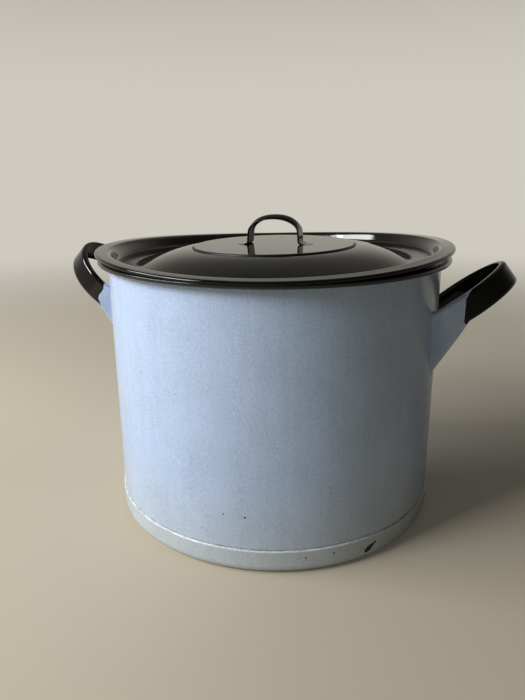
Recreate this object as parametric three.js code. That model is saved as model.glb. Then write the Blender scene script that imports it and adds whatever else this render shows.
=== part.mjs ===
// Enamelled steel stock pot with a lift-off lid.
// Millimetres, +Z up, origin in the middle of the base. The side handles lie along X.
import * as THREE from 'three';

// Sheet metal and clearances
const SHEET = 1.5;                     // steel with its enamel, all pressed pieces
const SEAM_GAP = 0.3;                  // left between pieces that are welded to or rest on each other
const TURN_STEPS = 64;                 // facets round the axis of a turned piece
const BEND_STEP = Math.PI / 6;         // largest turn of a facet in a bend
const BEND_ERROR = 0.4;                // furthest that a facet lies from its curve in a wide bend

// Barrel with its rolled rim
const BODY_RADIUS = 200;               // outside of the wall
const RIM_HEIGHT = 317;                // top of the roll above the floor
const RIM_ROLL_BORE = 5;               // radius of the hollow in the roll
const RIM_ROLL_OPEN_ANGLE = 55;        // degrees between the end of the roll and the wall

// Base pan, whose upstand laps over the foot of the barrel
const PAN_HEIGHT = 28;
const PAN_CORNER_BEND = 8.5;           // inside radius between floor and upstand
const FOOT_ABOVE_CORNER = 2;           // the barrel's foot ends this far above the bend

// Lid pan: flange on the rim, shallow well inside the mouth, dome, raised disc
const LID_OVERHANG = 2.8;              // flange edge beyond the rim roll
const LID_PLAY = 2.5;                  // between the top of the well's wall and the barrel
const LID_EDGE_BEND = 1;               // inside radius of the turned-down flange edge
const LID_FALL_ANGLE = 3;              // degrees, outwards
const LID_CREST_BEND = 4;              // inside radius from the flange down into the well
const LID_WALL_ANGLE = 12;             // degrees that the well's wall leans in
const LID_WELL_DEPTH = 10.2;           // from the crest to the floor of the well
const LID_WELL_BEND = 4;               // inside radius between the well's wall and floor
const LID_DOME_FOOT_BEND = 8;          // inside radius between the well's floor and the dome
const LID_DOME_RADIUS = 170;           // curve of the dome's side
const LID_DOME_TOP_ANGLE = 4;          // degrees, fall of the dome where the disc's step stands on it
const LID_DISC_RADIUS = 99;
const LID_DISC_RISE = 7.6;             // disc above the crest
const LID_STEP_HEIGHT = 2.3;           // small upright step round the disc
const LID_STEP_BEND = 0.4;             // inside radius at the top of the step

// Lid handle: arched strap with flat feet on the disc
const STRAP_WIDTH = 22;
const STRAP_THICKNESS = 2;
const STRAP_CROWN = 2;                 // the middle of the strap stands this far over its edges
const STRAP_SPAN = 64;                 // over the tops of the legs
const STRAP_HEIGHT = 36;               // above the disc
const STRAP_ARCH_HEIGHT = 20;          // height of the round top
const STRAP_ARCH_POWER = 2.6;          // 2 makes the top an ellipse, more makes its shoulders tighter
const STRAP_LEAN_ANGLE = 6;            // degrees that each leg leans in from its foot
const STRAP_FOOT_LENGTH = 12;          // foot beyond its bend
const STRAP_FOOT_BEND = 1.5;           // radius in the corner between leg and foot
const STRAP_STRIPS = 6;                // facets across the crown
const STRAP_ARCH_STEPS = 10;           // facets in half of the round top

// Side handles: channel-section straps bent to a loop that slants up and out
const HANDLE_DROP = 73.5;              // from the rim's top down to the loop's plane at the wall
const HANDLE_SLANT_ANGLE = 40;         // degrees above the horizontal
const HANDLE_REACH = 100.5;            // from the wall to the grip, along the slant
const HANDLE_ROOT_SPREAD = 90;         // between the legs at the wall
const HANDLE_SPLAY_ANGLE = 20;         // degrees that each leg leans outwards from the wall
const HANDLE_LEG_LENGTH = 52;          // how far the loop follows its legs before it bends in
const HANDLE_GRIP_HALF_LENGTH = 29;    // half of the grip's straight run
const HANDLE_SEAT_LENGTH = 4;          // shortest run of a leg before its first square section
const HANDLE_WEB = 27.5;               // width of the strap
const HANDLE_EDGE_BEND = 2.5;          // inside radius where the edges are turned in
const HANDLE_LIP = 2.5;                // flat of the turned-in edges beyond their bend
const HANDLE_FLARE_ANGLE = 25;         // degrees that the lower edge spreads towards the wall
const HANDLE_FLARE_LENGTH = 38;        // distance from the wall where the spread starts
const HANDLE_STEPS = 40;               // facets along the loop

const radians = THREE.MathUtils.degToRad;
const point = (x, y) => new THREE.Vector2(x, y);

// Points along an arc about (x, y), from one angle to another
function arc(x, y, radius, from, to) {
  const step = Math.min(BEND_STEP, 2 * Math.acos(Math.max(0, 1 - BEND_ERROR / radius)));
  const steps = Math.max(2, Math.ceil(Math.abs(to - from) / step));
  return new THREE.EllipseCurve(x, y, radius, radius, from, to, to < from).getPoints(steps);
}

// Points of a line moved sideways by a distance, to the left of its direction where positive
function offsetLine(line, distance) {
  return line.map((here, i) => {
    const before = line[Math.max(i - 1, 0)];
    const after = line[Math.min(i + 1, line.length - 1)];
    const into = here.clone().sub(before).normalize();
    const out = after.clone().sub(here).normalize();
    const along = into.clone().add(out).normalize();
    const stretch = along.dot(i > 0 ? into : out);
    return point(here.x - along.y * distance / stretch, here.y + along.x * distance / stretch);
  });
}

// Closed strip of sheet round a centre line of (radius, height) points, turned about Z
function turnedSheet(centreLine) {
  const profile = [...offsetLine(centreLine, SHEET / 2), ...offsetLine(centreLine, -SHEET / 2).reverse()];
  if (THREE.ShapeUtils.isClockWise(profile)) profile.reverse();
  profile.push(profile[0].clone());
  return new THREE.LatheGeometry(profile, TURN_STEPS).rotateX(Math.PI / 2);
}

// Strap skinned over rings of points. A ring runs along one face of the strap and back along the other.
function loftStrap(rings) {
  const count = rings[0].length;
  const last = (rings.length - 1) * count;
  const faces = [];
  const quad = (a, b, c, d) => faces.push(a, b, c, a, c, d);
  for (let ring = 0; ring < rings.length - 1; ring++) {
    for (let i = 0; i < count; i++) {
      const a = ring * count + i;
      const b = ring * count + (i + 1) % count;
      quad(a, b, b + count, a + count);
    }
  }
  for (let i = 0; i < count / 2 - 1; i++) {
    const opposite = count - 1 - i;
    quad(opposite, opposite - 1, i + 1, i);
    quad(last + i, last + i + 1, last + opposite - 1, last + opposite);
  }
  const geometry = new THREE.BufferGeometry().setFromPoints(rings.flat());
  geometry.setIndex(faces);
  geometry.computeVertexNormals();
  return geometry;
}

// Barrel: straight wall, outward roll at the rim
const wallLine = BODY_RADIUS - SHEET / 2;
const rollRadius = RIM_ROLL_BORE + SHEET;
const rollLine = RIM_ROLL_BORE + SHEET / 2;
const rollCentre = point(wallLine + rollLine, RIM_HEIGHT - rollRadius);

function barrel() {
  const foot = point(wallLine, SHEET + PAN_CORNER_BEND + FOOT_ABOVE_CORNER);
  const rollEnd = radians(RIM_ROLL_OPEN_ANGLE) - Math.PI;
  return turnedSheet([foot, ...arc(rollCentre.x, rollCentre.y, rollLine, Math.PI, rollEnd)]);
}

// Base pan: flat floor, bend and upstand outside the barrel
function basePan() {
  const floorLine = SHEET / 2;
  const upstandLine = BODY_RADIUS + SEAM_GAP + SHEET / 2;
  const bendLine = PAN_CORNER_BEND + SHEET / 2;
  const bend = arc(upstandLine - bendLine, floorLine + bendLine, bendLine, -Math.PI / 2, 0);
  return turnedSheet([point(0, floorLine), ...bend, point(upstandLine, PAN_HEIGHT)]);
}

// Lid pan: the flange falls outwards and rests on the rim's roll
const fall = radians(LID_FALL_ANGLE);
const flangeOnRoll = rollCentre.y + (rollRadius + SEAM_GAP + SHEET / 2) / Math.cos(fall);
const flangeAt = (radius) => flangeOnRoll - (radius - rollCentre.x) * Math.tan(fall);

// Centre of a bend that turns the flange's centre line down at a radius
const bendUnderFlange = (radius, bend) => point(radius, flangeAt(radius) - bend / Math.cos(fall));

const wellLine = BODY_RADIUS - SHEET - LID_PLAY - SHEET / 2;
const crestLine = LID_CREST_BEND + SHEET / 2;
const crest = bendUnderFlange(wellLine + crestLine, crestLine);
const crestTop = crest.y + crestLine + SHEET / 2;
const discTop = crestTop + LID_DISC_RISE;

function lidPan() {
  const discLine = discTop - SHEET / 2;
  const stepLine = LID_STEP_BEND + SHEET / 2;
  const stepX = LID_DISC_RADIUS - SHEET / 2;
  const floorLine = crestTop - LID_WELL_DEPTH - SHEET / 2;

  // The dome falls from the foot of the disc's step, and a bend leads it into the well's floor
  const footLine = LID_DOME_FOOT_BEND + SHEET / 2;
  const domeFrom = Math.PI / 2 - radians(LID_DOME_TOP_ANGLE);
  const domeCentre = point(-Math.cos(domeFrom), -Math.sin(domeFrom)).multiplyScalar(LID_DOME_RADIUS);
  domeCentre.add(point(stepX, discLine - LID_STEP_HEIGHT));
  const domeTo = Math.asin((floorLine + footLine - domeCentre.y) / (LID_DOME_RADIUS + footLine));
  const footX = domeCentre.x + (LID_DOME_RADIUS + footLine) * Math.cos(domeTo);

  // The well's wall runs straight from its lower bend to the crest
  const lean = radians(LID_WALL_ANGLE);
  const wellBendLine = LID_WELL_BEND + SHEET / 2;
  const wallRise = crest.y - floorLine - wellBendLine + (crestLine + wellBendLine) * Math.sin(lean);
  const wellBendX = crest.x - (crestLine + wellBendLine) * Math.cos(lean) - wallRise * Math.tan(lean);

  const edgeLine = LID_EDGE_BEND + SHEET / 2;
  const edgeX = rollCentre.x + rollRadius + LID_OVERHANG - SHEET / 2;
  const edge = bendUnderFlange(edgeX - edgeLine, edgeLine);
  return turnedSheet([
    point(0, discLine),
    ...arc(stepX - stepLine, discLine - stepLine, stepLine, Math.PI / 2, 0),
    ...arc(domeCentre.x, domeCentre.y, LID_DOME_RADIUS, domeFrom, domeTo),
    ...arc(footX, floorLine + footLine, footLine, domeTo + Math.PI, 1.5 * Math.PI).slice(1),
    ...arc(wellBendX, floorLine + wellBendLine, wellBendLine, 1.5 * Math.PI, 2 * Math.PI - lean),
    ...arc(crest.x, crest.y, crestLine, Math.PI - lean, Math.PI / 2 - fall),
    ...arc(edge.x, edge.y, edgeLine, Math.PI / 2 - fall, 0),
    point(edgeX, edge.y - edgeLine),
  ]);
}

// Lid handle: crowned strap along an arch in the XZ plane, flat at its feet
function lidHandle() {
  const legLine = (STRAP_SPAN - STRAP_THICKNESS) / 2;
  const bendLine = STRAP_FOOT_BEND + STRAP_THICKNESS / 2;
  const base = discTop + SEAM_GAP + STRAP_THICKNESS / 2;
  const archLine = STRAP_ARCH_HEIGHT - STRAP_THICKNESS / 2;
  const spring = discTop + STRAP_HEIGHT - STRAP_ARCH_HEIGHT;
  const lean = radians(STRAP_LEAN_ANGLE);
  const legRise = spring - base - bendLine * (1 - Math.sin(lean));
  const bendX = legLine + legRise * Math.tan(lean) + bendLine * Math.cos(lean);
  const arch = Array.from({ length: STRAP_ARCH_STEPS + 1 }, (_, i) => {
    const turn = i / STRAP_ARCH_STEPS * Math.PI / 2;
    const x = Math.cos(turn) ** (2 / STRAP_ARCH_POWER);
    const y = Math.sin(turn) ** (2 / STRAP_ARCH_POWER);
    return point(legLine * x, spring + archLine * y);
  });
  const quarter = [
    point(bendX + STRAP_FOOT_LENGTH, base),
    ...arc(bendX, base + bendLine, bendLine, 1.5 * Math.PI, Math.PI + lean),
    ...arch,
  ];
  const mirrored = quarter.slice(0, -1).reverse().map((p) => point(-p.x, p.y));
  const path = [...quarter, ...mirrored];

  // The crown grows from nothing on the feet to its full height on the arch
  const crownAt = (height) => STRAP_CROWN * THREE.MathUtils.smoothstep(height, base, spring);
  const across = Array.from({ length: STRAP_STRIPS + 1 }, (_, i) => 2 * i / STRAP_STRIPS - 1);
  const section = (crown) => [
    ...across.map((y) => point(y * STRAP_WIDTH / 2, STRAP_THICKNESS / 2 - crown * y * y)),
    ...across.map((y) => point(-y * STRAP_WIDTH / 2, -STRAP_THICKNESS / 2 - crown * y * y)),
  ];
  const outward = offsetLine(path, -1).map((p, i) => p.sub(path[i]));
  const rings = path.map((p, i) => section(crownAt(p.y)).map(
    (q) => new THREE.Vector3(p.x + outward[i].x * q.y, q.x, p.y + outward[i].y * q.y)));
  return loftStrap(rings);
}

// Section of the side handles: a channel, its web on the outside and its lips turned into the loop
function channelOutline(top, bottom) {
  const inside = HANDLE_EDGE_BEND;
  const outside = HANDLE_EDGE_BEND + SHEET;
  const lipEnd = outside + HANDLE_LIP;
  return [
    point(lipEnd, bottom + SHEET),
    ...arc(outside, bottom + outside, inside, 1.5 * Math.PI, Math.PI),
    ...arc(outside, top - outside, inside, Math.PI, Math.PI / 2),
    point(lipEnd, top - SHEET),
    point(lipEnd, top),
    ...arc(outside, top - outside, outside, Math.PI / 2, Math.PI),
    ...arc(outside, bottom + outside, outside, Math.PI, 1.5 * Math.PI),
    point(lipEnd, bottom),
  ];
}

// Loop of a side handle seen square to its plane, from one leg round the grip to the other
function handleLoop(start) {
  const splay = radians(HANDLE_SPLAY_ANGLE);
  const legPull = point(Math.cos(splay), -Math.sin(splay)).multiplyScalar(HANDLE_LEG_LENGTH);
  const mirror = (p) => point(p.x, -p.y);
  const half = [
    start,
    start.clone().add(legPull),
    point(HANDLE_REACH, -HANDLE_GRIP_HALF_LENGTH),
    point(HANDLE_REACH, 0),
  ];
  const loop = new THREE.CurvePath();
  loop.add(new THREE.CubicBezierCurve(...half));
  loop.add(new THREE.CubicBezierCurve(...half.map(mirror).reverse()));
  return loop;
}

// Side handle towards +X
function sideHandle() {
  const slant = radians(HANDLE_SLANT_ANGLE);
  const splay = Math.tan(radians(HANDLE_SPLAY_ANGLE));
  const flare = Math.tan(radians(HANDLE_FLARE_ANGLE));
  const top = HANDLE_WEB / 2;
  const bottomAt = (reach) => -HANDLE_WEB / 2 - flare * Math.max(0, HANDLE_FLARE_LENGTH - reach);
  const squareAt = top * Math.tan(slant) + HANDLE_SEAT_LENGTH;
  const loop = handleLoop(point(squareAt, -HANDLE_ROOT_SPREAD / 2 - splay * squareAt));

  // The loop's plane: reach slants up and out, width lies along Y, height is square to both
  const rootX = Math.sqrt(BODY_RADIUS ** 2 - (HANDLE_ROOT_SPREAD / 2) ** 2);
  const origin = new THREE.Vector3(rootX, 0, RIM_HEIGHT - HANDLE_DROP);
  const reachAxis = new THREE.Vector3(Math.cos(slant), 0, Math.sin(slant));
  const heightAxis = new THREE.Vector3(-Math.sin(slant), 0, Math.cos(slant));
  const place = (reach, width, height) => new THREE.Vector3(0, width, 0)
    .addScaledVector(reachAxis, reach)
    .addScaledVector(heightAxis, height)
    .add(origin);

  const rings = [];
  for (let i = 0; i <= HANDLE_STEPS; i++) {
    const p = loop.getPointAt(i / HANDLE_STEPS);
    const along = loop.getTangentAt(i / HANDLE_STEPS);
    rings.push(channelOutline(top, bottomAt(p.x)).map(
      (q) => place(p.x - along.y * q.x, p.y + along.x * q.x, q.y)));
  }

  // Each leg is run back from its first square section until it meets the wall
  const seatRadius = BODY_RADIUS + SEAM_GAP;
  const outline = channelOutline(top, bottomAt(squareAt));
  const seatRing = (ring, side) => ring.map((p, i) => {
    const share = (top - outline[i].y) / (top - bottomAt(squareAt));
    const back = new THREE.Vector3(0, -side * splay, 0).sub(reachAxis);
    back.addScaledVector(heightAxis, -flare * share);
    const a = back.x ** 2 + back.y ** 2;
    const b = p.x * back.x + p.y * back.y;
    const c = p.x ** 2 + p.y ** 2 - seatRadius ** 2;
    return p.clone().addScaledVector(back, (-b - Math.sqrt(b * b - a * c)) / a);
  });
  rings.unshift(seatRing(rings[0], -1));
  rings.push(seatRing(rings[rings.length - 1], 1));
  return loftStrap(rings);
}

const PALE_BLUE = { color: 0x9fb2cc, roughness: 0.35 };
const BLACK = { color: 0x0c0c0d, roughness: 0.12 };

function piece(name, geometry, finish) {
  const mesh = new THREE.Mesh(geometry, new THREE.MeshStandardMaterial(finish));
  mesh.name = name;
  return mesh;
}

const pot = new THREE.Group();
pot.add(piece('barrel', barrel(), PALE_BLUE));
pot.add(piece('base_pan', basePan(), PALE_BLUE));

const handleRight = piece('handle_right', sideHandle(), PALE_BLUE);
const handleLeft = piece('handle_left', sideHandle(), PALE_BLUE);
handleLeft.rotation.z = Math.PI;
pot.add(handleRight, handleLeft);

const lid = new THREE.Group();
lid.add(piece('lid_pan', lidPan(), BLACK));
lid.add(piece('lid_handle', lidHandle(), BLACK));
pot.add(lid);

export default pot;
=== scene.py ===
"""Enamelled stock pot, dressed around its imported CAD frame.

The part's lengths are millimetres until a mesh is made. Those of the floor, the lamps and the camera's
clipping are metres.
"""

import math

import bpy
import numpy as np
from mathutils import Matrix, Vector


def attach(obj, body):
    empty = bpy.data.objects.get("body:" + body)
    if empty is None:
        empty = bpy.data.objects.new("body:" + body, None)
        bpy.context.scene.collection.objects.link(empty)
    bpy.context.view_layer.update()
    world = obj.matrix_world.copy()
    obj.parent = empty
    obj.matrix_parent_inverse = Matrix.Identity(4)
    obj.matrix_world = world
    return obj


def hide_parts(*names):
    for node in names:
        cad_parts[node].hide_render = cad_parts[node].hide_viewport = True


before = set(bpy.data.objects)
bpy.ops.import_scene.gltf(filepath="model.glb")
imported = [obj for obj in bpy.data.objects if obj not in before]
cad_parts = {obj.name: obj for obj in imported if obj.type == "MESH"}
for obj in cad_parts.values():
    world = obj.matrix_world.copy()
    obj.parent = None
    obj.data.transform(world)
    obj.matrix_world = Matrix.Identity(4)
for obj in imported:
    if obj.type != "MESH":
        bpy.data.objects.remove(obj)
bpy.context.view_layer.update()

MM = 0.001

# Sheet metal, as in the CAD source
SHEET = 1.5
SEAM_GAP = 0.3
BODY_RADIUS = 200
RIM_HEIGHT = 317
RIM_ROLL_BORE = 5
RIM_ROLL_OPEN_ANGLE = 55
PAN_HEIGHT = 28
PAN_CORNER_BEND = 8.5
FOOT_ABOVE_CORNER = 2
LID_OVERHANG = 2.8
LID_PLAY = 2.5
LID_EDGE_BEND = 1
LID_FALL_ANGLE = 3
LID_CREST_BEND = 4
LID_DOME_RADIUS = 170
LID_DOME_TOP_ANGLE = 4
LID_DISC_RADIUS = 99
LID_DISC_RISE = 7.6

# Strap handles, as in the CAD source
STRAP_WIDTH = 22
STRAP_THICKNESS = 2
STRAP_SPAN = 64
STRAP_FOOT_LENGTH = 12
STRAP_FOOT_BEND = 1.5
HANDLE_DROP = 73.5
HANDLE_REACH = 100.5
HANDLE_ROOT_SPREAD = 90
HANDLE_SPLAY_ANGLE = 20
HANDLE_LEG_LENGTH = 52
HANDLE_GRIP_HALF_LENGTH = 29
HANDLE_SEAT_LENGTH = 4
HANDLE_WEB = 27.5
HANDLE_EDGE_BEND = 2.5
HANDLE_LIP = 2.5
HANDLE_FLARE_ANGLE = 25

# Read from the photo after the CAD source was finished, which has other values for these
LID_WALL_ANGLE = 24
LID_WELL_DEPTH = 12.2
LID_WELL_BEND = 4.5
LID_DOME_FOOT_BEND = 20
LID_STEP_HEIGHT = 1.7
LID_STEP_BEND = 0.5
LID_EDGE_DROP = 0.3
STRAP_CROWN = 3.4
STRAP_HEIGHT = 35.4
STRAP_ARCH_HEIGHT = 21.8
STRAP_ARCH_POWER = 2.25
STRAP_LEAN_ANGLE = 4.6

# Use has bent the side handles: the CAD source has both at 40 degrees, with one flare
SLANT_RIGHT = 37.5
SLANT_LEFT = 44
FLARE_LENGTH_RIGHT = 38
FLARE_LENGTH_LEFT = 22

# Mesh fineness
TURN_STEPS = 256
BEND_STEP = math.radians(9)
ARC_CHORD = 4
ARC_STEPS_LEAST = 4
FLAT_STEP = 9
FLAT_GUARD = 0.7
HANDLE_STEPS = 110
WEB_STEPS = 12
ARCH_STEPS = 24
CAP_STEPS = 6
LEDGE_STEPS = 8
STRAP_STRIPS = 16
LOOP_SAMPLES = 400
ON_AXIS = 1e-6

# The lid has warped: its flange stands off the rim at the left and right of the photo, and its middle leans
LID_EDGE = BODY_RADIUS + RIM_ROLL_BORE * 2 + SHEET + LID_OVERHANG
BOW_HEIGHT = 9.2
BOW_FROM, BOW_TO = 150, 196
LEAN_MIDDLE, LEAN_FLANGE = 0.0165, 0.0082
LEAN_FROM, LEAN_TO = 188, 206
BOW_TURN = math.radians(15.7)

# The photo's camera
CAMERA_PLACE = (202.1, -719.04, 416.8)
CAMERA_FORWARD = (-0.27752, 0.91561, -0.29093)
CAMERA_UP = (-0.07606, 0.28094, 0.95671)
FOCAL_PIXELS = 601.58
IMAGE_LONG_SIDE = 700
SENSOR = 36
CLIP_NEAR, CLIP_FAR = 0.01, 100


def smooth(value, low, high):
    """Smooth step from 0 at low to 1 at high."""
    t = min(max((value - low) / (high - low), 0), 1)
    return t * t * (3 - 2 * t)


def unit(v):
    length = np.linalg.norm(v)
    return v / length if length else v


def arc(x, y, radius, start, end):
    """Points along an arc about (x, y), from one angle to another."""
    turn = abs(end - start)
    count = max(ARC_STEPS_LEAST, math.ceil(turn / BEND_STEP), math.ceil(turn * radius / ARC_CHORD))
    turns = np.linspace(start, end, count + 1)
    return [np.array((x + radius * math.cos(t), y + radius * math.sin(t))) for t in turns]


def spaced(line):
    """The line with points added to its long flats, close beside each bend and evenly between."""
    out = [np.array(line[0], float)]
    for a, b in zip(line, line[1:]):
        a, b = np.array(a, float), np.array(b, float)
        length = np.linalg.norm(b - a)
        if length > ARC_CHORD:
            inner = np.linspace(FLAT_GUARD, length - FLAT_GUARD, max(2, math.ceil(length / FLAT_STEP)))
            out += [a + (b - a) * s / length for s in inner]
        out.append(b)
    return out


def side_vectors(line):
    """For each point of a line, the vector to its left that keeps the line's offset parallel."""
    out = []
    for i, here in enumerate(line):
        into = unit(here - line[max(i - 1, 0)])
        away = unit(line[min(i + 1, len(line) - 1)] - here)
        along = unit(into + away)
        stretch = along @ (into if i else away)
        out.append(np.array((-along[1], along[0])) / stretch)
    return out


def sheet_outline(line, thickness, round_start=True, round_end=True):
    """Closed outline of a sheet round its centre line. A round end is a half circle."""
    sides = side_vectors(line)
    half = thickness / 2
    left = [p + n * half for p, n in zip(line, sides)]
    right = [p - n * half for p, n in zip(line, sides)]

    def cap(centre, side, ahead):
        turns = np.linspace(0, math.pi, CAP_STEPS + 2)[1:-1]
        return [centre + half * (math.cos(t) * side + math.sin(t) * ahead) for t in turns]

    end = cap(line[-1], unit(sides[-1]), unit(line[-1] - line[-2])) if round_end else []
    start = cap(line[0], -unit(sides[0]), unit(line[0] - line[1])) if round_start else []
    return left + end + right[::-1] + start


def make_object(name, points, faces):
    """A smooth mesh object from points in millimetres."""
    mesh = bpy.data.meshes.new(name)
    mesh.from_pydata([tuple(MM * float(c) for c in p) for p in points], [], faces)
    mesh.polygons.foreach_set("use_smooth", [True] * len(mesh.polygons))
    mesh.validate()
    mesh.update()
    made = bpy.data.objects.new(name, mesh)
    bpy.context.scene.collection.objects.link(made)
    return made


def lathe(name, outline, shape=None):
    """A closed outline of (radius, height) points turned about Z. shape moves each point."""
    area = sum(a[0] * b[1] - b[0] * a[1] for a, b in zip(outline, outline[1:] + outline[:1]))
    if area < 0:
        outline = outline[::-1]
    points, rows = [], []
    for radius, height in outline:
        if radius < ON_AXIS:
            rows.append([len(points)] * TURN_STEPS)
            points.append((0, 0, height))
            continue
        rows.append(list(range(len(points), len(points) + TURN_STEPS)))
        for i in range(TURN_STEPS):
            t = 2 * math.pi * i / TURN_STEPS
            points.append((radius * math.cos(t), radius * math.sin(t), height))
    faces = []
    for a, b in zip(rows, rows[1:] + rows[:1]):
        for i in range(TURN_STEPS):
            j = (i + 1) % TURN_STEPS
            corners = list(dict.fromkeys((a[i], a[j], b[j], b[i])))
            if len(corners) > 2:
                faces.append(corners)
    if shape:
        points = [shape(np.array(p, float)) for p in points]
    return make_object(name, points, faces)


def loft(name, rings):
    """A closed skin over rings of points, with an end face on the first and the last ring."""
    count = len(rings[0])
    faces = []
    for r in range(len(rings) - 1):
        for i in range(count):
            j = (i + 1) % count
            faces.append((r * count + i, r * count + j, (r + 1) * count + j, (r + 1) * count + i))
    last = (len(rings) - 1) * count
    faces.append(tuple(range(count - 1, -1, -1)))
    faces.append(tuple(range(last, last + count)))
    return make_object(name, [p for ring in rings for p in ring], faces)


def warp(p):
    """The lid's warp."""
    radius = math.hypot(p[0], p[1])
    across = p[0] * math.cos(BOW_TURN) + p[1] * math.sin(BOW_TURN)
    bow = BOW_HEIGHT * smooth(radius, BOW_FROM, BOW_TO)
    lean = LEAN_MIDDLE + (LEAN_FLANGE - LEAN_MIDDLE) * smooth(radius, LEAN_FROM, LEAN_TO)
    return np.array((p[0], p[1], p[2] + bow * (across / LID_EDGE) ** 2 + lean * across))


# Barrel. Its rolled rim is pressed flatter than the round roll of the CAD source
wall_line = BODY_RADIUS - SHEET / 2
roll_radius = RIM_ROLL_BORE + SHEET
roll_line = RIM_ROLL_BORE + SHEET / 2
roll_x = wall_line + roll_line
roll_z = RIM_HEIGHT - roll_radius
BEAD_HALF_HEIGHT = 3.7


def make_barrel():
    foot = np.array((wall_line, SHEET + PAN_CORNER_BEND + FOOT_ABOVE_CORNER))
    roll = arc(0, 0, roll_line, math.pi, math.radians(RIM_ROLL_OPEN_ANGLE) - math.pi)
    flat = (BEAD_HALF_HEIGHT - SHEET / 2) / roll_line
    bead = [np.array((roll_x + x, RIM_HEIGHT - BEAD_HALF_HEIGHT + flat * z)) for x, z in roll]
    return lathe("barrel_shell", sheet_outline(spaced([foot, *bead]), SHEET))


# The enamel runs over the base pan's edge and onto the wall, in an uneven rounded ledge
LEDGE_BITE = 0.1
LEDGE_DROP = 1.5
LEDGE_WAVES = ((0.16, 7, 1.0), (0.14, 16, 2.0), (0.14, 29, 0.5), (0.10, 53, 4.0))


def make_base_pan():
    floor_line = SHEET / 2
    upstand_line = BODY_RADIUS + SEAM_GAP + SHEET / 2
    bend_line = PAN_CORNER_BEND + SHEET / 2
    bend = arc(upstand_line - bend_line, floor_line + bend_line, bend_line, -math.pi / 2, 0)
    ledge_foot = PAN_HEIGHT - LEDGE_DROP
    line = spaced([np.array((0.0, floor_line)), *bend, np.array((upstand_line, ledge_foot))])
    outline = sheet_outline(line, SHEET, round_start=False, round_end=False)
    inner, outer = BODY_RADIUS - LEDGE_BITE, upstand_line + SHEET / 2
    ledge = [np.array((inner + (outer - inner) * math.sin(t), ledge_foot + LEDGE_DROP * math.cos(t)))
             for t in np.linspace(0, math.pi / 2, LEDGE_STEPS + 1)[:-1]]
    outline = outline[:len(line)] + ledge + outline[len(line):]

    def uneven(p):
        share = smooth(p[2], ledge_foot, PAN_HEIGHT)
        turn = math.atan2(p[1], p[0])
        return p + np.array((0, 0, share * sum(a * math.sin(n * turn + s) for a, n, s in LEDGE_WAVES)))

    return lathe("base_pan_shell", outline, uneven)


# Lid
fall = math.radians(LID_FALL_ANGLE)
flange_on_roll = roll_z + (roll_radius + SEAM_GAP + SHEET / 2) / math.cos(fall)
well_line = BODY_RADIUS - SHEET - LID_PLAY - SHEET / 2
crest_line = LID_CREST_BEND + SHEET / 2


def under_flange(radius, bend):
    """Centre of a bend that turns the flange's centre line down at a radius."""
    height = flange_on_roll - (radius - roll_x) * math.tan(fall)
    return np.array((radius, height - bend / math.cos(fall)))


crest = under_flange(well_line + crest_line, crest_line)
crest_top = crest[1] + crest_line + SHEET / 2
disc_top = crest_top + LID_DISC_RISE


def make_lid_pan():
    disc_line = disc_top - SHEET / 2
    step_line = LID_STEP_BEND + SHEET / 2
    step_x = LID_DISC_RADIUS - SHEET / 2
    floor_line = crest_top - LID_WELL_DEPTH - SHEET / 2

    foot_line = LID_DOME_FOOT_BEND + SHEET / 2
    dome_from = math.pi / 2 - math.radians(LID_DOME_TOP_ANGLE)
    dome_x = step_x - LID_DOME_RADIUS * math.cos(dome_from)
    dome_z = disc_line - LID_STEP_HEIGHT - LID_DOME_RADIUS * math.sin(dome_from)
    dome_to = math.asin((floor_line + foot_line - dome_z) / (LID_DOME_RADIUS + foot_line))
    foot_x = dome_x + (LID_DOME_RADIUS + foot_line) * math.cos(dome_to)

    lean = math.radians(LID_WALL_ANGLE)
    bend_line = LID_WELL_BEND + SHEET / 2
    wall_rise = crest[1] - floor_line - bend_line + (crest_line + bend_line) * math.sin(lean)
    bend_x = crest[0] - (crest_line + bend_line) * math.cos(lean) - wall_rise * math.tan(lean)

    edge_line = LID_EDGE_BEND + SHEET / 2
    edge_x = LID_EDGE - SHEET / 2
    edge = under_flange(edge_x - edge_line, edge_line)
    line = [
        np.array((0.0, disc_line)),
        *arc(step_x - step_line, disc_line - step_line, step_line, math.pi / 2, 0),
        *arc(dome_x, dome_z, LID_DOME_RADIUS, dome_from, dome_to),
        *arc(foot_x, floor_line + foot_line, foot_line, dome_to + math.pi, 1.5 * math.pi)[1:],
        *arc(bend_x, floor_line + bend_line, bend_line, 1.5 * math.pi, 2 * math.pi - lean),
        *arc(*crest, crest_line, math.pi - lean, math.pi / 2 - fall),
        *arc(*edge, edge_line, math.pi / 2 - fall, 0),
        np.array((edge_x, edge[1] - LID_EDGE_DROP)),
    ]
    return lathe("lid_shell", sheet_outline(spaced(line), SHEET, round_start=False), warp)


# The feet of the lid's strap are drawn out thin and rounded, and welded down
FOOT_TIP_THICKNESS = 0.3
FOOT_TIP_WIDTH = 0.55
FOOT_DRAW_POWER = 4
FOOT_ROUND_SHARE = 0.5
FOOT_STEPS = 14
STRAP_OFF_CENTRE = 1.6


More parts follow.
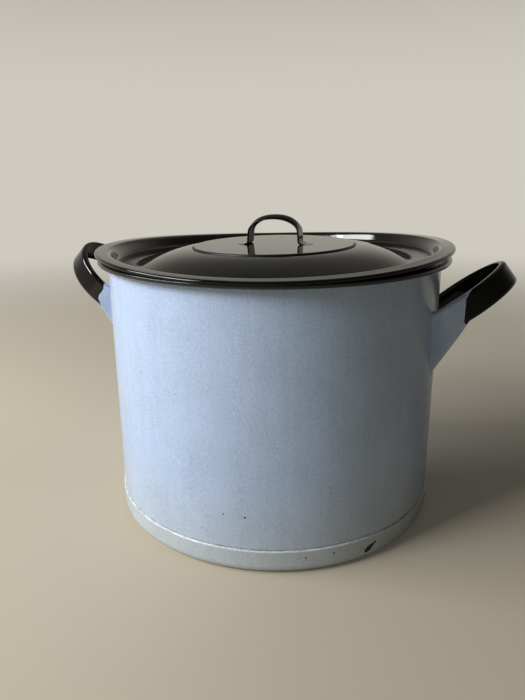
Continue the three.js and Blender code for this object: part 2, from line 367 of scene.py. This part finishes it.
def make_lid_handle():
    leg_line = (STRAP_SPAN - STRAP_THICKNESS) / 2
    bend_line = STRAP_FOOT_BEND + STRAP_THICKNESS / 2
    base = disc_top + STRAP_THICKNESS / 2
    arch_line = STRAP_ARCH_HEIGHT - STRAP_THICKNESS / 2
    spring = disc_top + STRAP_HEIGHT - STRAP_ARCH_HEIGHT
    lean = math.radians(STRAP_LEAN_ANGLE)
    leg_rise = spring - base - bend_line * (1 - math.sin(lean))
    bend_x = leg_line + leg_rise * math.tan(lean) + bend_line * math.cos(lean)
    tip = bend_x + STRAP_FOOT_LENGTH
    bend = arc(bend_x, base + bend_line, bend_line, 1.5 * math.pi, math.pi + lean)
    power = 2 / STRAP_ARCH_POWER
    turns = np.linspace(0, math.pi / 2, ARCH_STEPS + 1)
    arch = [np.array((leg_line * max(0, math.cos(t)) ** power, spring + arch_line * math.sin(t) ** power))
            for t in turns]
    foot = [np.array((x, base)) for x in np.linspace(tip, bend_x, FOOT_STEPS)[:-1]]
    quarter = spaced([*foot, *bend, *arch])
    path = quarter + [p * (-1, 1) for p in quarter[-2::-1]]
    across = np.linspace(-1, 1, STRAP_STRIPS + 1)
    rings = []
    for p, side in zip(path, side_vectors(path)):
        crown = STRAP_CROWN * smooth(p[1], spring, spring + arch_line)
        drawn = min(max((tip - abs(p[0])) / STRAP_FOOT_LENGTH, 0), 1)
        full = drawn ** FOOT_DRAW_POWER
        thickness = FOOT_TIP_THICKNESS + (STRAP_THICKNESS - FOOT_TIP_THICKNESS) * full
        round_tip = math.sqrt(1 - (1 - min(1, drawn / FOOT_ROUND_SHARE)) ** 2)
        half = STRAP_WIDTH / 2 * (FOOT_TIP_WIDTH + (1 - FOOT_TIP_WIDTH) * round_tip)
        sink = (STRAP_THICKNESS - thickness) / 2
        section = sheet_outline([np.array((half * y, -crown * y * y)) for y in across], thickness)
        ring = [(p[0] - side[0] * out + STRAP_OFF_CENTRE, y, p[1] - side[1] * out - sink)
                for y, out in section]
        rings.append([warp(np.array(q)) for q in ring])
    return loft("lid_handle_strap", rings)


def bezier(p0, p1, p2, p3, t):
    s = 1 - t
    return s ** 3 * p0 + 3 * s * s * t * p1 + 3 * s * t * t * p2 + t ** 3 * p3


def handle_loop(start):
    """Evenly spaced points of a side handle's loop, and the directions along it."""
    splay = math.radians(HANDLE_SPLAY_ANGLE)
    pull = HANDLE_LEG_LENGTH * np.array((math.cos(splay), -math.sin(splay)))
    knots = [
        start,
        start + pull,
        np.array((HANDLE_REACH, -HANDLE_GRIP_HALF_LENGTH)),
        np.array((HANDLE_REACH, 0.0)),
    ]
    half = np.array([bezier(*knots, t) for t in np.linspace(0, 1, LOOP_SAMPLES)])
    dense = np.vstack((half, half[-2::-1] * (1, -1)))
    run = np.concatenate(([0], np.cumsum(np.linalg.norm(np.diff(dense, axis=0), axis=1))))
    even = np.linspace(0, run[-1], HANDLE_STEPS + 1)
    points = np.column_stack([np.interp(even, run, dense[:, k]) for k in (0, 1)])
    along = np.gradient(points, axis=0)
    return points, along / np.linalg.norm(along, axis=1)[:, None]


def channel_outline(top, bottom, thickness):
    """Section of a side handle: its web on the outside, its lips turned into the loop."""
    bend = HANDLE_EDGE_BEND + SHEET / 2
    near = HANDLE_EDGE_BEND + SHEET
    lip_end = near + HANDLE_LIP - SHEET / 2
    low = arc(near, bottom + near, bend, 1.5 * math.pi, math.pi)
    high = arc(near, top - near, bend, math.pi, math.pi / 2)
    web = [low[-1] + (high[0] - low[-1]) * s for s in np.linspace(0, 1, WEB_STEPS + 1)[1:-1]]
    lips = [np.array((lip_end, bottom + SHEET / 2)), np.array((lip_end, top - SHEET / 2))]
    return sheet_outline([lips[0], *low, *web, *high, lips[1]], thickness)


# Weld fillet at the foot of a leg: (distance from the wall, thickness of the sheet there)
WELD = ((0, 4.6), (0.4, 3.4), (0.9, 2.6), (1.6, 2.0), (2.6, SHEET), (4, SHEET), (7, SHEET))
WELD_BITE = 0.2

handle_root_x = math.sqrt(BODY_RADIUS ** 2 - (HANDLE_ROOT_SPREAD / 2) ** 2)


def make_side_handle(name, slant_angle, flare_length):
    """The handle towards +X. Each leg ends in a small weld fillet on the wall."""
    slant = math.radians(slant_angle)
    splay = math.tan(math.radians(HANDLE_SPLAY_ANGLE))
    flare = math.tan(math.radians(HANDLE_FLARE_ANGLE))
    top = HANDLE_WEB / 2

    def bottom_at(reach):
        return -HANDLE_WEB / 2 - flare * max(0, flare_length - reach)

    square_at = top * math.tan(slant) + HANDLE_SEAT_LENGTH
    points, along = handle_loop(np.array((square_at, -HANDLE_ROOT_SPREAD / 2 - splay * square_at)))
    origin = np.array((handle_root_x, 0, RIM_HEIGHT - HANDLE_DROP))
    reach_axis = np.array((math.cos(slant), 0, math.sin(slant)))
    height_axis = np.array((-math.sin(slant), 0, math.cos(slant)))

    def place(reach, width, height):
        return origin + reach_axis * reach + np.array((0, width, 0)) + height_axis * height

    def ring_at(i, thickness):
        p, a = points[i], along[i]
        outline = channel_outline(top, bottom_at(p[0]), thickness)
        return outline, [place(p[0] - a[1] * q[0], p[1] + a[0] * q[0], q[1]) for q in outline]

    def root_ring(i, side, thickness, stand_off):
        """The square section at an end of the loop, run back to the wall and off it by a distance."""
        outline, ring = ring_at(i, thickness)
        out = []
        for q, p in zip(outline, ring):
            share = (top - q[1]) / (top - bottom_at(square_at))
            back = unit(np.array((0, -side * splay, 0)) - reach_axis - height_axis * flare * share)
            a = back[0] ** 2 + back[1] ** 2
            b = p[0] * back[0] + p[1] * back[1]
            c = p[0] ** 2 + p[1] ** 2 - (BODY_RADIUS - WELD_BITE) ** 2
            reach = (-b - math.sqrt(b * b - a * c)) / a
            out.append(p + back * max(0, reach - stand_off))
        return out

    rings = [root_ring(0, -1, thickness, off) for off, thickness in WELD]
    rings += [ring_at(i, SHEET)[1] for i in range(HANDLE_STEPS + 1)]
    rings += [root_ring(HANDLE_STEPS, 1, thickness, off) for off, thickness in WELD[::-1]]
    return loft(name, rings)


barrel = make_barrel()
base_pan = make_base_pan()
handle_right = make_side_handle("handle_right_strap", SLANT_RIGHT, FLARE_LENGTH_RIGHT)
handle_left = make_side_handle("handle_left_strap", SLANT_LEFT, FLARE_LENGTH_LEFT)
handle_left.data.transform(Matrix.Rotation(math.pi, 4, "Z"))
lid_pan = make_lid_pan()
lid_handle = make_lid_handle()


class Shader:
    """One node material, made a node at a time."""

    def __init__(self, tree):
        self.tree = tree
        self.tree.nodes.clear()

    def node(self, kind, inputs=None, **settings):
        made = self.tree.nodes.new(kind)
        for key, value in settings.items():
            setattr(made, key, value)
        for key, value in (inputs or {}).items():
            if isinstance(value, bpy.types.NodeSocket):
                self.tree.links.new(value, made.inputs[key])
            else:
                made.inputs[key].default_value = value
        return made

    def math(self, operation, a, b=0.0, c=0.0):
        return self.node("ShaderNodeMath", {0: a, 1: b, 2: c}, operation=operation).outputs[0]

    def vector(self, operation, a, b, output="Value"):
        return self.node("ShaderNodeVectorMath", {0: a, 1: b}, operation=operation).outputs[output]

    def ramp(self, value, low, high, out_low=0.0, out_high=1.0):
        """Smooth step of a value between two levels."""
        inputs = {"Value": value, "From Min": low, "From Max": high, "To Min": out_low, "To Max": out_high}
        return self.node("ShaderNodeMapRange", inputs, interpolation_type="SMOOTHSTEP").outputs["Result"]

    def mix(self, factor, a, b):
        return self.node("ShaderNodeMix", {0: factor, 6: a, 7: b}, data_type="RGBA").outputs[2]


# Blender's own specular level
PLAIN_GLOSS = 0.5


class Surface(Shader):
    """The material of an object, patterned by the place on it."""

    WANDER_ROUGHNESS = 0.6
    SPECK_CORE = 0.5

    def __init__(self, name):
        self.material = bpy.data.materials.new(name)
        self.material.use_nodes = True
        super().__init__(self.material.node_tree)
        self.place = self.node("ShaderNodeTexCoord").outputs["Object"]
        self.x, self.y, self.z = self.node("ShaderNodeSeparateXYZ", {"Vector": self.place}).outputs

    def noise(self, scale, detail=3.0, roughness=0.5, stretch=(1, 1, 1)):
        moved = self.node("ShaderNodeMapping", {"Vector": self.place, "Scale": stretch}).outputs[0]
        inputs = {"Vector": moved, "Scale": scale, "Detail": detail, "Roughness": roughness}
        return self.node("ShaderNodeTexNoise", inputs).outputs["Fac"]

    def wander(self, scale, reach, detail=3.0):
        """Noise about nought that reaches about so many millimetres."""
        noise = self.noise(scale, detail, self.WANDER_ROUGHNESS)
        return self.math("MULTIPLY_ADD", noise, 2 * reach * MM, -reach * MM)

    def varied(self, noise, spread, least):
        """A level that a noise, given as noise() takes it, lifts over its least."""
        return self.math("MULTIPLY_ADD", self.noise(*noise), spread, least)

    def scaled(self, colour, value):
        return self.node("ShaderNodeHueSaturation", {"Color": colour, "Value": value}).outputs[0]

    def specks(self, scale, size, share):
        """Sparse round spots, one in some of the cells."""
        cells = self.node("ShaderNodeTexVoronoi", {"Vector": self.place, "Scale": scale})
        pick = self.node("ShaderNodeSeparateColor", {"Color": cells.outputs["Color"]}).outputs[0]
        kept = self.math("LESS_THAN", pick, share)
        round_spot = self.ramp(cells.outputs["Distance"], size, size * self.SPECK_CORE)
        return self.math("MULTIPLY", round_spot, kept)

    def spots(self, places, wobble):
        """Depth inside marks with ragged edges. A place is (x, y, z, radius) in millimetres."""
        total = None
        for *middle, radius in places:
            away = self.vector("DISTANCE", self.place, [c * MM for c in middle])
            level = self.math("SUBTRACT", radius * MM, away)
            total = level if total is None else self.math("MAXIMUM", total, level)
        return self.math("ADD", total, wobble)

    def finish(self, colour, roughness, height, bump_depth, ior, gloss=PLAIN_GLOSS):
        """The material, with a bump of so many millimetres. Its IOR and its gloss are the same all over."""
        bump = self.node("ShaderNodeBump", {"Height": height, "Strength": 1.0, "Distance": bump_depth * MM})
        inputs = {"Base Color": colour, "Roughness": roughness, "Normal": bump.outputs[0]}
        surface = self.node("ShaderNodeBsdfPrincipled", {**inputs, "IOR": ior, "Specular IOR Level": gloss})
        self.node("ShaderNodeOutputMaterial", {"Surface": surface.outputs[0]})
        return self.material


# Colours
PALE = (0.405, 0.52, 0.725, 1)
# The base pan's band: partly its own greyer enamel, partly painted warm floor bounce
BAND = (0.43, 0.49, 0.54, 1)
# Painted highlight along the rounded ledge of the base pan
LEDGE_HIGHLIGHT = (0.72, 0.76, 0.82, 1)
BLACK = (0.003, 0.003, 0.003, 1)
INSIDE = (0.60, 0.62, 0.63, 1)
RUST = (0.055, 0.026, 0.014, 1)
BARE = (0.012, 0.009, 0.008, 1)
DUST = (0.22, 0.21, 0.19, 1)
FLECK = (0.12, 0.13, 0.15, 1)
# Painted shade in the crease just above the base pan's ledge
CREASE_SHADE = (0.16, 0.16, 0.14, 1)

# Chips: (x, y, z, radius). The first six run together into one leaf-shaped mark on the base pan
CHIPS = (
    (144.6, -140.8, 11.5, 3.0),
    (146.2, -139.1, 12.8, 3.5),
    (147.8, -137.4, 14.1, 3.3),
    (149.4, -135.6, 15.4, 2.3),
    (151.0, -133.8, 16.8, 1.8),
    (152.7, -131.9, 18.1, 1.6),
    (23.7, -198.6, 66.5, 1.2),
    (-0.2, -200.0, 68.0, 0.9),
    (-53.7, -194.5, 32.8, 1.0),
    (113.0, -167.2, 20.0, 1.2),
    (77.3, -184.4, 35.9, 0.8),
    (85.8, -182.7, 19.1, 1.0),
    (128.8, -153.0, 58.2, 0.8),
)

# The black of the rim ends at a height on the wall
BLACK_RIM_FROM, BLACK_RIM_FULL = 308.0, 309.6

# The black of a grip ends at a distance from the pot's middle plane that changes across the web:
# (change, height on the web where it starts, height where it ends)
GRIP_RIGHT = {
    "slant": SLANT_RIGHT,
    "from": 227.8,
    "changes": ((4.5, 8.0, 14.5), (3.5, -10.5, -17.0)),
}
GRIP_LEFT = {
    "slant": SLANT_LEFT,
    "from": 209.3,
    "changes": ((9.3, 12.0, -7.5), (-1.0, -7.5, -10.0), (3.0, -12.5, -17.5)),
}

# Pale enamel. Noises are (scale, detail, roughness). Three of them and an even part make its brightness
GRAIN, GRAIN_SHARE = (520, 3, 0.7), 0.75
RUNS, RUNS_SHARE = (90, 3, 0.6), 0.18
RUNS_STRETCH = (1, 1, 0.07)
CLOUDS, CLOUDS_SHARE = (22, 4, 0.6), 0.24
EVEN_SHARE = 0.42
PALE_WEAR = (30, 3)
PALE_ROUGHNESS_SPREAD, PALE_ROUGHNESS_LEAST = 0.12, 0.17
PALE_RIPPLE, PALE_BUMP = (240, 2), 0.06
PALE_IOR = 1.5

# It turns greyer by halves, low on the wall and at the base pan's edge: painted warm light bounced up from
# the floor, and on the pan partly its own greyer enamel
GREYER_FROM, GREYER_HALF, GREYER_FULL = 120, PAN_HEIGHT + 6, PAN_HEIGHT - 2

# Lines round the base pan's edge, a painted highlight on its ledge and painted shade in the crease above
# it: (height, half width, half width of the full tone)
LEDGE_HIGHLIGHT_LINE = (PAN_HEIGHT - 0.4, 1.2, 0.4)
CREASE_SHADE_LINE = (PAN_HEIGHT + 0.9, 1.0, 0.3)
# The noises that break these painted lines up, and their ramps: (from, to, tone at from, tone at to)
LEDGE_HIGHLIGHT_BREAKUP, LEDGE_HIGHLIGHT_TONE = (120, 4, 0.65), (0.40, 0.60, 0.0, 0.5)
CREASE_SHADE_BREAKUP, CREASE_SHADE_TONE = (130, 4, 0.7), (0.48, 0.62, 0.18, 0.85)

# Marks: wander is (scale, reach, detail), specks are (scale, size, share of the cells)
CHIP_WANDER = (420, 1.6, 4)
CHIP_EDGE_FROM, CHIP_EDGE_TO, CHIP_CORE_TO = -0.1, 0.2, 1.0
CHIP_ROUGHNESS = 0.45
CHIP_SINK = 2.0
PINHOLES = (75, 0.055, 0.22)
RIM_WANDER = (60, 0.5)
GRIP_WANDER = (120, 0.35)
GRIP_EDGE = 0.5
GRIP_SMOOTHING = 0.82
RIGHT_HANDLE_GLOSS = 0.18

# Black enamel, dull beside the step of the lid's disc
BLACK_MOTTLE, BLACK_SPREAD, BLACK_LEAST = (90, 4, 0.6), 0.8, 0.6
DUST_SPECKS, DUST_SHARE = (160, 0.08, 0.5), 0.35
BLACK_WEAR = (24, 5, 0.65)
BLACK_ROUGHNESS_SPREAD, BLACK_ROUGHNESS_LEAST = 0.10, 0.03
STEP_DULL_FROM, STEP_DULL_FULL, STEP_ROUGHNESS = 1.8, 0.8, 0.4
BLACK_RIPPLE, BLACK_BUMP = (120, 2), 0.05
BLACK_IOR = 1.4
LID_GLOSS, STRAP_GLOSS, WELL_GLOSS = 0.42, 0.24, 1.0

# Enamel inside the pot
INSIDE_MOTTLE, INSIDE_SPREAD, INSIDE_LEAST = (300, 3), 0.12, 0.94
FLECKS = (260, 0.16, 0.7)
INSIDE_WEAR = (26, 3)
INSIDE_ROUGHNESS_SPREAD, INSIDE_ROUGHNESS_LEAST = 0.15, 0.15
INSIDE_RIPPLE, INSIDE_BUMP = (200, 2), 0.1


def line_round(s, height, reach, full):
    """1 on a level line round the pot, 0 beyond its reach."""
    away = s.math("ABSOLUTE", s.math("SUBTRACT", s.z, height * MM))
    return s.ramp(away, reach * MM, full * MM)


def pale_colour(s):
    """Pale blue with the fine grain and the faint upright runs of fired enamel, greyer low down with
    painted warm floor bounce and the base pan's own greyer tone, with a painted highlight along the pan's
    ledge and painted shade in the crease above it.
    """
    # Painted warm floor bounce greys the lower wall and the base pan
    low = s.ramp(s.z, GREYER_FROM * MM, GREYER_HALF * MM, 0.0, 0.5)
    lowest = s.ramp(s.z, GREYER_HALF * MM, GREYER_FULL * MM, 0.0, 0.5)
    colour = s.mix(s.math("ADD", low, lowest), PALE, BAND)
    # Painted highlight along the ledge, broken up by a noise
    highlight_breakup = s.ramp(s.noise(*LEDGE_HIGHLIGHT_BREAKUP), *LEDGE_HIGHLIGHT_TONE)
    colour = s.mix(s.math("MULTIPLY", line_round(s, *LEDGE_HIGHLIGHT_LINE), highlight_breakup), colour, LEDGE_HIGHLIGHT)
    # Painted shade in the crease above the ledge, broken up by a noise
    shade_breakup = s.ramp(s.noise(*CREASE_SHADE_BREAKUP), *CREASE_SHADE_TONE)
    colour = s.mix(s.math("MULTIPLY", line_round(s, *CREASE_SHADE_LINE), shade_breakup), colour, CREASE_SHADE)
    grain = s.math("MULTIPLY", s.noise(*GRAIN), GRAIN_SHARE)
    runs = s.math("MULTIPLY", s.noise(*RUNS, stretch=RUNS_STRETCH), RUNS_SHARE)
    clouds = s.math("MULTIPLY", s.noise(*CLOUDS), CLOUDS_SHARE)
    level = s.math("ADD", s.math("ADD", grain, runs), s.math("ADD", clouds, EVEN_SHARE))
    return s.scaled(colour, level)


def chipped(s, colour, roughness):
    """Adds chips and pinholes to a colour and a roughness, and gives the chips' mask."""
    depth = s.spots(CHIPS, s.wander(*CHIP_WANDER))
    mask = s.ramp(depth, CHIP_EDGE_FROM * MM, CHIP_EDGE_TO * MM)
    core = s.ramp(depth, CHIP_EDGE_TO * MM, CHIP_CORE_TO * MM)
    colour = s.mix(mask, colour, s.mix(core, RUST, BARE))
    colour = s.mix(s.specks(*PINHOLES), colour, BARE)
    return colour, s.math("MULTIPLY_ADD", mask, CHIP_ROUGHNESS, roughness), mask


def grip_mask(s, grip):
    """1 on the black grip of a side handle, 0 on its pale legs."""
    slant = math.radians(grip["slant"])
    aside = s.math("ABSOLUTE", s.x)
    out = s.math("SUBTRACT", aside, handle_root_x * MM)
    up = s.math("SUBTRACT", s.z, (RIM_HEIGHT - HANDLE_DROP) * MM)
    across = s.math("MULTIPLY_ADD", up, math.cos(slant), s.math("MULTIPLY", out, -math.sin(slant)))
    start = s.math("ADD", s.wander(*GRIP_WANDER), grip["from"] * MM)
    for change, begin, end in grip["changes"]:
        start = s.math("ADD", start, s.ramp(across, begin * MM, end * MM, 0.0, change * MM))
    return s.ramp(s.math("SUBTRACT", aside, start), 0.0, GRIP_EDGE * MM)


def make_pale_enamel(name, grip=None, black_rim=False, gloss=PLAIN_GLOSS):
    s = Surface(name)
    roughness = s.varied(PALE_WEAR, PALE_ROUGHNESS_SPREAD, PALE_ROUGHNESS_LEAST)
    colour, roughness, chips = chipped(s, pale_colour(s), roughness)
    if black_rim:
        edge = s.math("ADD", s.z, s.wander(*RIM_WANDER))
        colour = s.mix(s.ramp(edge, BLACK_RIM_FROM * MM, BLACK_RIM_FULL * MM), colour, BLACK)
    if grip:
        black = grip_mask(s, grip)
        colour = s.mix(black, colour, BLACK)
        roughness = s.math("MULTIPLY", roughness, s.math("MULTIPLY_ADD", black, -GRIP_SMOOTHING, 1.0))
    height = s.math("MULTIPLY_ADD", chips, -CHIP_SINK, s.noise(*PALE_RIPPLE))
    return s.finish(colour, roughness, height, PALE_BUMP, PALE_IOR, gloss)


def make_black_enamel(name, gloss):
    s = Surface(name)
    colour = s.scaled(BLACK, s.varied(BLACK_MOTTLE, BLACK_SPREAD, BLACK_LEAST))
    colour = s.mix(s.math("MULTIPLY", s.specks(*DUST_SPECKS), DUST_SHARE), colour, DUST)
    roughness = s.varied(BLACK_WEAR, BLACK_ROUGHNESS_SPREAD, BLACK_ROUGHNESS_LEAST)
    level_place = s.node("ShaderNodeCombineXYZ", {0: s.x, 1: s.y}).outputs[0]
    radius = s.vector("LENGTH", level_place, (0, 0, 0))
    from_step = s.math("ABSOLUTE", s.math("SUBTRACT", radius, LID_DISC_RADIUS * MM))
    dull = s.ramp(from_step, STEP_DULL_FROM * MM, STEP_DULL_FULL * MM, 0.0, STEP_ROUGHNESS)
    roughness = s.math("MAXIMUM", roughness, dull)
    return s.finish(colour, roughness, s.noise(*BLACK_RIPPLE), BLACK_BUMP, BLACK_IOR, gloss)


def make_inside_enamel(name):
    s = Surface(name)
    colour = s.scaled(INSIDE, s.varied(INSIDE_MOTTLE, INSIDE_SPREAD, INSIDE_LEAST))
    colour = s.mix(s.specks(*FLECKS), colour, FLECK)
    roughness = s.varied(INSIDE_WEAR, INSIDE_ROUGHNESS_SPREAD, INSIDE_ROUGHNESS_LEAST)
    return s.finish(colour, roughness, s.noise(*INSIDE_RIPPLE), INSIDE_BUMP, PALE_IOR)


pale_enamel = make_pale_enamel("pale_blue_enamel", black_rim=True)
right_enamel = make_pale_enamel("two_tone_enamel_right", grip=GRIP_RIGHT, gloss=RIGHT_HANDLE_GLOSS)
left_enamel = make_pale_enamel("two_tone_enamel_left", grip=GRIP_LEFT)
black_enamel = make_black_enamel("black_enamel", LID_GLOSS)
worn_black_enamel = make_black_enamel("worn_black_enamel", STRAP_GLOSS)
sheltered_black_enamel = make_black_enamel("sheltered_black_enamel", WELL_GLOSS)
inside_enamel = make_inside_enamel("inside_enamel")


def dress(piece, node, body, material):
    piece.data.materials.append(material)
    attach(piece, body)
    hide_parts(node)


dress(barrel, "barrel", "pot", pale_enamel)
dress(base_pan, "base_pan", "pot", pale_enamel)
dress(handle_right, "handle_right", "pot", right_enamel)
dress(handle_left, "handle_left", "pot", left_enamel)
dress(lid_pan, "lid_pan", "lid", black_enamel)
dress(lid_handle, "lid_handle", "lid", worn_black_enamel)


# The wall of the lid's well lies between these radii
SHELTERED_FROM, SHELTERED_TO = 184, 198
# The enamel inside the pot ends this far below the middle of the rim's roll
INSIDE_BELOW_ROLL = 4


def shelter_well(lid):
    """Gives the wall of the lid's well, which use has not dulled, its fuller gloss."""
    lid.data.materials.append(sheltered_black_enamel)
    for face in lid.data.polygons:
        radius = math.hypot(face.center.x, face.center.y)
        if SHELTERED_FROM * MM < radius < SHELTERED_TO * MM and face.normal.z > 0:
            face.material_index = 1


shelter_well(lid_pan)


def blacken_inside(handle):
    """Gives the faces on the inner side of a handle's channel the black of its grip."""
    handle.data.materials.append(black_enamel)
    section = len(channel_outline(HANDLE_WEB / 2, -HANDLE_WEB / 2, SHEET))
    outer = (section - 2 * CAP_STEPS) // 2
    loft_ends = 2
    for face in list(handle.data.polygons)[:-loft_ends]:
        if face.index % section >= outer:
            face.material_index = 1


blacken_inside(handle_right)
blacken_inside(handle_left)


def line_inside(piece, low, high):
    """Gives the faces inside the pot, between two heights, their own enamel."""
    piece.data.materials.append(inside_enamel)
    for face in piece.data.polygons:
        inside = math.hypot(face.center.x, face.center.y) < wall_line * MM
        if inside and low * MM < face.center.z < high * MM:
            face.material_index = 1


line_inside(barrel, 0, roll_z - INSIDE_BELOW_ROLL)
line_inside(base_pan, SHEET / 2, PAN_HEIGHT)

# Floor, light and camera
FLOOR = (0.51, 0.455, 0.35, 1)
BACKDROP = (1.0, 0.95, 0.84, 1)
ROOM = (1.0, 0.93, 0.80, 1)
FLOOR_REACH = 30
FLOOR_GLOW = 0.2
FADE_FROM, FADE_TO = 0.7, 2.6
BEHIND = (-0.2706, 0.9627, 0)
WINDOW = (-0.780, -0.625, 0)
SHOWN = {"front": 0.21, "behind": 0.62, "window": 0.20, "above": 0.42}
LIGHT = {"front": 0.03, "behind": 0.14, "window": 0.25, "above": 1.0}
# Where the room's brightness changes, as cosines of the angle to a direction, or sines of the height
BEHIND_FROM, BEHIND_FULL = 0.0, 0.7
WINDOW_FROM, WINDOW_FULL = 0.3, 0.95
ABOVE_FROM, ABOVE_FULL = 0.08, 0.5
# Two panes of one window: (angle to the left of the front, width, watts)
PANES = ((43, 0.68, 37), (68, 1.05, 33))
PANE_HEIGHT = 0.8
PANE_AWAY = 1.9
PANE_UP = 1.40
AIM = (0, 0, 0.17)


def level_towards(s, towards, levels):
    """Brightness of the room by direction: a pale wall behind, a window at the left, a dim front."""
    height = s.node("ShaderNodeSeparateXYZ", {"Vector": towards}).outputs[2]
    to_behind = s.vector("DOT_PRODUCT", towards, BEHIND)
    to_window = s.vector("DOT_PRODUCT", towards, WINDOW)
    behind = s.ramp(to_behind, BEHIND_FROM, BEHIND_FULL, levels["front"], levels["behind"])
    window = s.ramp(to_window, WINDOW_FROM, WINDOW_FULL, 0.0, levels["window"])
    above = s.ramp(height, ABOVE_FROM, ABOVE_FULL, 1.0, levels["above"])
    return s.math("MULTIPLY", s.math("ADD", behind, window), above)


def seen_directly(s):
    """1 for the rays that show the background: camera rays, reflections and what is seen through glass."""
    rays = s.node("ShaderNodeLightPath").outputs
    mirrored = s.math("MAXIMUM", rays["Is Glossy Ray"], rays["Is Transmission Ray"])
    return s.math("MAXIMUM", rays["Is Camera Ray"], mirrored)


def make_floor():
    mesh = bpy.data.meshes.new("floor")
    corners = [(x * FLOOR_REACH, y * FLOOR_REACH, 0) for x, y in ((-1, -1), (1, -1), (1, 1), (-1, 1))]
    mesh.from_pydata(corners, [], [(0, 1, 2, 3)])
    floor = bpy.data.objects.new("floor", mesh)
    bpy.context.scene.collection.objects.link(floor)
    s = Surface("floor")
    fade = s.ramp(s.vector("LENGTH", s.place, (0, 0, 0)), FADE_FROM, FADE_TO, FLOOR_GLOW, 1.0)
    towards = s.vector("NORMALIZE", s.place, (0, 0, 0), "Vector")
    plain = s.node("ShaderNodeBsdfDiffuse", {"Color": FLOOR})
    far = s.node("ShaderNodeEmission", {"Color": BACKDROP, "Strength": level_towards(s, towards, SHOWN)})
    share = s.math("MULTIPLY", fade, seen_directly(s))
    both = s.node("ShaderNodeMixShader", {0: share, 1: plain.outputs[0], 2: far.outputs[0]})
    s.node("ShaderNodeOutputMaterial", {"Surface": both.outputs[0]})
    mesh.materials.append(s.material)


def make_world():
    world = bpy.data.worlds.new("studio")
    bpy.context.scene.world = world
    world.use_nodes = True
    s = Shader(world.node_tree)
    towards = s.node("ShaderNodeTexCoord").outputs["Generated"]
    light, sight = level_towards(s, towards, LIGHT), level_towards(s, towards, SHOWN)
    lit = s.node("ShaderNodeBackground", {"Color": ROOM, "Strength": light})
    shown = s.node("ShaderNodeBackground", {"Color": BACKDROP, "Strength": sight})
    both = s.node("ShaderNodeMixShader", {0: seen_directly(s), 1: lit.outputs[0], 2: shown.outputs[0]})
    s.node("ShaderNodeOutputWorld", {"Surface": both.outputs[0]})


def make_pane(angle, width, watts):
    lamp = bpy.data.lights.new("pane", "AREA")
    lamp.shape = "RECTANGLE"
    lamp.size, lamp.size_y = width, PANE_HEIGHT
    lamp.energy = watts
    turn = math.radians(angle)
    place = Vector((-PANE_AWAY * math.sin(turn), -PANE_AWAY * math.cos(turn), PANE_UP))
    pane = bpy.data.objects.new("pane", lamp)
    pane.location = place
    pane.rotation_euler = (Vector(AIM) - place).to_track_quat("-Z", "Y").to_euler()
    bpy.context.scene.collection.objects.link(pane)


def make_camera():
    data = bpy.data.cameras.new("camera")
    data.sensor_width = SENSOR
    data.lens = FOCAL_PIXELS * SENSOR / IMAGE_LONG_SIDE
    data.clip_start, data.clip_end = CLIP_NEAR, CLIP_FAR
    back = -Vector(CAMERA_FORWARD).normalized()
    right = Vector(CAMERA_UP).cross(back).normalized()
    up = back.cross(right)
    camera = bpy.data.objects.new("camera", data)
    turn = Matrix((right, up, back)).transposed().to_4x4()
    camera.matrix_world = Matrix.Translation(Vector(CAMERA_PLACE) * MM) @ turn
    bpy.context.scene.collection.objects.link(camera)
    bpy.context.scene.camera = camera


make_floor()
make_world()
for pane in PANES:
    make_pane(*pane)
make_camera()
bpy.context.scene.view_settings.view_transform = "Standard"

bpy.context.view_layer.update()
